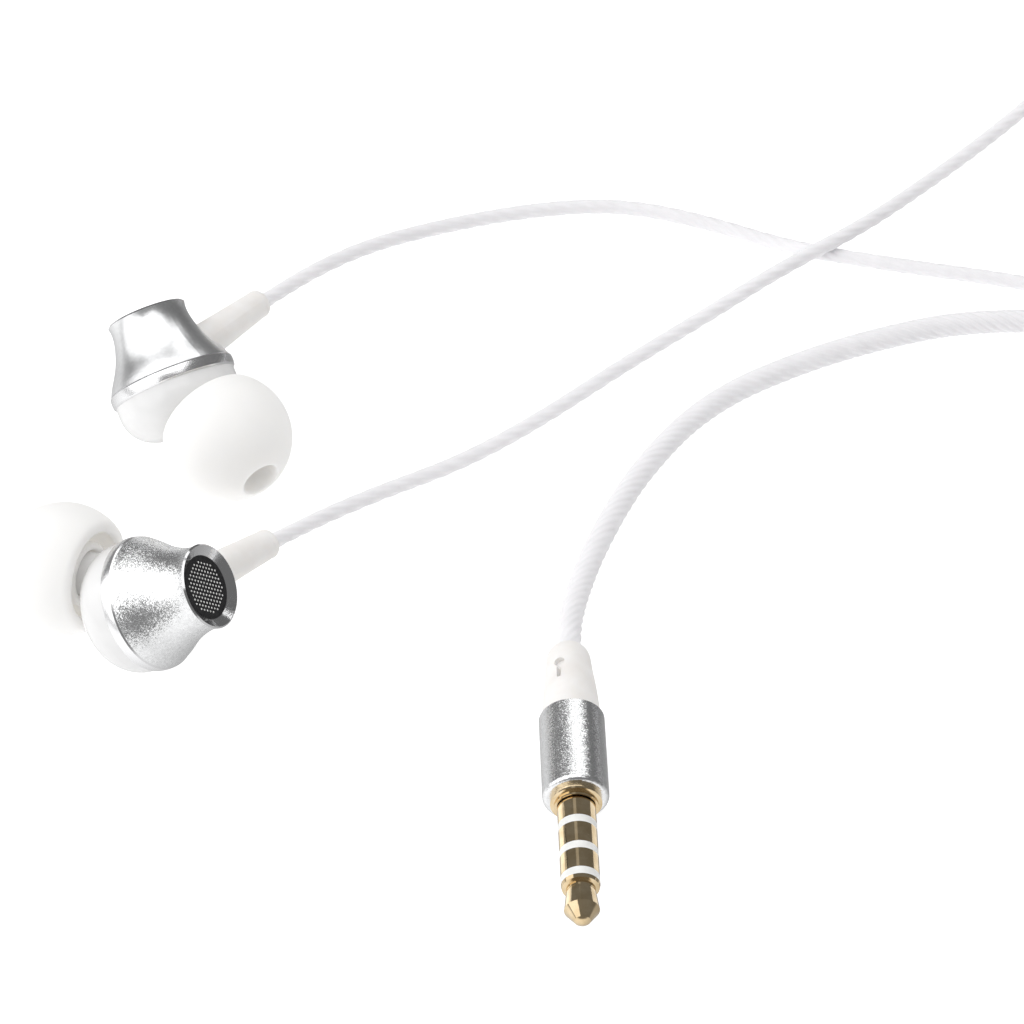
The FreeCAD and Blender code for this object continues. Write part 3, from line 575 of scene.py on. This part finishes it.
def even_steps(line, step):
    """The same line with its points an even step apart."""
    lengths = [(b - a).length for a, b in zip(line, line[1:])]
    count = round(sum(lengths) / step)
    spacing = sum(lengths) / count
    found = [line[0]]
    walked = 0.0
    for a, b, length in zip(line, line[1:], lengths):
        while length and len(found) < count and walked + length >= spacing * len(found):
            found.append(a.lerp(b, (spacing * len(found) - walked) / length))
        walked += length
    return found + [line[-1]]


def carried_frames(line):
    """Two directions across the line at each point, carried along without turning about it."""
    ahead = [(b - a).normalized() for a, b in zip([line[0], *line], [*line[1:], line[-1]])]
    ahead[0] = (line[1] - line[0]).normalized()
    across = ahead[0].orthogonal().normalized()
    frames = []
    for direction in ahead:
        across = (across - direction * across.dot(direction)).normalized()
        frames.append((across, direction.cross(across)))
    return frames


def twisted_cord(name, route, twist, material):
    """A sheath pulled tight over twisted strands, so that it shows a long low screw of ridges."""
    line = even_steps(smooth_line([Vector(place) * MM for place in route]), RING_STEP * MM)
    around = twist["lobes"] * LOBE_POINTS
    points = []
    for ring, (centre, (u, v)) in enumerate(zip(line, carried_frames(line))):
        along = ring * RING_STEP
        slack = 0.35 * noise.noise(Vector((along / 9.0, 0.5, 0.5)))
        turned = tau * along / twist["lead"] + slack
        for place in range(around):
            angle = tau * place / around
            ridge = abs(sin(angle * twist["lobes"] / 2))
            radius = (twist["radius"] - twist["depth"] * (1 - ridge)) * MM
            points.append(centre + (u * cos(angle + turned) + v * sin(angle + turned)) * radius)
    faces = grid_faces(len(line), around)
    last = (len(line) - 1) * around
    faces.append(tuple(reversed(range(around))))
    faces.append(tuple(range(last, last + around)))
    return mesh_piece(name, points, faces, material), line


def in_mm(*points):
    return [tuple(point / MM) for point in points]


def make_branch_cord(ear, before, after, solids, materials):
    """A branch from its earpiece's boot, through its coil, to the splitter."""
    start = in_mm(boot_point(ear, BOOT_CORD_START), boot_point(ear, BOOT_END + BOOT_CORD_CLEAR))
    route = start + before + coil_route(COILS[ear]) + after
    piece, line = twisted_cord(ear + "_branch_cord", route, TWIST["branch"], materials["white_cord"])
    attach(piece, ROOT)
    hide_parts(*solids)


def make_main_cord(materials):
    """From the plug's boot, through its coil, to the splitter."""
    start = in_mm(plug_point(PLUG_REAR - PLUG_CORD_TUCK), plug_point(PLUG_REAR + PLUG_CORD_CLEAR))
    route = start + MAIN_TO_COIL + coil_route(COILS["main"]) + MAIN_TO_SPLITTER
    piece, line = twisted_cord("main_cord", route, TWIST["main"], materials["white_cord"])
    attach(piece, ROOT)
    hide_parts("main_cord_lower", "main_cord_coil", "main_cord_upper")


def make_cords(materials):
    """Two branches from the earpieces to the splitter, and the main cord from there to the plug."""
    right_solids = ["right_cord_upper", "right_cord_middle", "right_cord_coil", "right_cord_lower"]
    left_solids = ["left_cord_upper", "left_cord_coil", "left_cord_lower"]
    make_branch_cord("right", RIGHT_TO_COIL, RIGHT_TO_SPLITTER, right_solids, materials)
    make_branch_cord("left", LEFT_TO_COIL, LEFT_TO_SPLITTER, left_solids, materials)
    make_main_cord(materials)


# ---------------------------------------------------------------- ear tips
def tip_profile():
    """(radius, height) outline of a ball tip: outside, hole, bore, core and inside of the skirt."""
    rise = TIP_SKIRT_START - TIP_CENTRE
    edge = pi / 2 + asin(-rise / TIP_RADIUS)
    hole = asin(TIP_HOLE / TIP_RADIUS)
    under = TIP_RADIUS - TIP_WALL
    lip_start = pi / 2 + asin((-rise - TIP_LIP) / under)
    lip = sqrt(TIP_RADIUS ** 2 - rise ** 2) - TIP_LIP
    fold = asin(TIP_CORE / under)
    front = TIP_CENTRE + TIP_RADIUS * cos(hole)
    profile = arc_points(TIP_CENTRE, TIP_RADIUS, edge, hole, 22)
    profile += [(TIP_HOLE, front - 0.55), (TIP_HOLE, NOZZLE_END + 0.4), (TIP_HOLE, NOZZLE_END + 0.1),
                (TIP_BORE - 0.1, NOZZLE_END), (TIP_BORE, NOZZLE_END - 0.15),
                (TIP_BORE, (NOZZLE_END + TIP_CORE_START) / 2), (TIP_BORE, TIP_CORE_START + 0.2),
                (TIP_BORE + 0.12, TIP_CORE_START), (TIP_CORE - 0.12, TIP_CORE_START),
                (TIP_CORE, TIP_CORE_START + 0.2), (TIP_CORE, TIP_CENTRE + 1.0),
                (TIP_CORE, TIP_CENTRE + under * cos(fold) - 0.5)]
    profile += arc_points(TIP_CENTRE, under, fold + 0.07, lip_start, 16)
    profile += [(lip + 0.15, TIP_SKIRT_START + 0.75), (lip, TIP_SKIRT_START + 0.45),
                (lip + 0.10, TIP_SKIRT_START + 0.08), (lip + 0.35, TIP_SKIRT_START)]
    return profile


def make_ear_tip(ear, materials):
    """Turned from its outline, with one subdivision that rounds its lips."""
    place = nozzle_matrix(ear)
    points = []
    profile = tip_profile()
    for radius, height in profile:
        for step in range(TIP_SIDES):
            angle = tau * step / TIP_SIDES
            points.append(place @ (Vector((radius * cos(angle), radius * sin(angle), height)) * MM))
    faces = grid_faces(len(profile), TIP_SIDES, closed_rings=True)
    piece = mesh_piece(ear + "_silicone_tip", points, faces, materials["white_silicone"])
    smooth = piece.modifiers.new("smooth", "SUBSURF")
    smooth.levels = 1
    smooth.render_levels = 1
    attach(piece, ear + "_tip")
    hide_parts(ear + "_ear_tip")


# ---------------------------------------------------------------- grille mesh
def grille_holes():
    """Middles of the grille's holes, staggered row by row."""
    across = int(GRILLE_REACH / GRILLE_PITCH) + 1
    found = []
    for row in range(-across, across + 1):
        y = row * GRILLE_PITCH * sin(pi / 3)
        for place in range(-across, across + 1):
            x = (place + row % 2 / 2) * GRILLE_PITCH
            if x ** 2 + y ** 2 < GRILLE_REACH ** 2:
                found.append((x, y))
    return found


def make_grille_mesh(ear, materials):
    """Bright mesh behind the grille, pressed up into each of its holes."""
    place = ear_matrix(ear)
    face = -BELL_LENGTH + GRILLE_RECESS
    dome = [(0.0, -0.040), (0.040, -0.030), (0.080, -0.005), (0.110, 0.035), (0.122, 0.08),
            (0.122, GRILLE_THICK + 0.02)]
    around = GRILLE_SIDES
    points = []
    faces = []
    for x, y in grille_holes():
        start = len(points)
        points.append(place @ (Vector((x, y, face + dome[0][1])) * MM))
        for radius, depth in dome[1:]:
            for step in range(around):
                angle = tau * step / around
                points.append(place @ (Vector((x + radius * cos(angle), y + radius * sin(angle),
                                               face + depth)) * MM))
        top = start + 1
        faces += [(start, top + (step + 1) % around, top + step) for step in range(around)]
        faces += [tuple(top + corner for corner in quad) for quad in grid_faces(len(dome) - 1, around)]
        last = top + (len(dome) - 2) * around
        faces.append(tuple(range(last, last + around)))
    piece = mesh_piece(ear + "_grille_mesh", points, faces, materials["grille_mesh_steel"])
    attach(piece, ROOT)


# ---------------------------------------------------------------- making
make_camera()
make_studio()
materials = make_materials()
make_cords(materials)
for ear in EARS:
    make_ear_tip(ear, materials)
    make_grille_mesh(ear, materials)
dress_nodes(materials)
for ear in EARS:
    polish_back_rim(ear, materials)
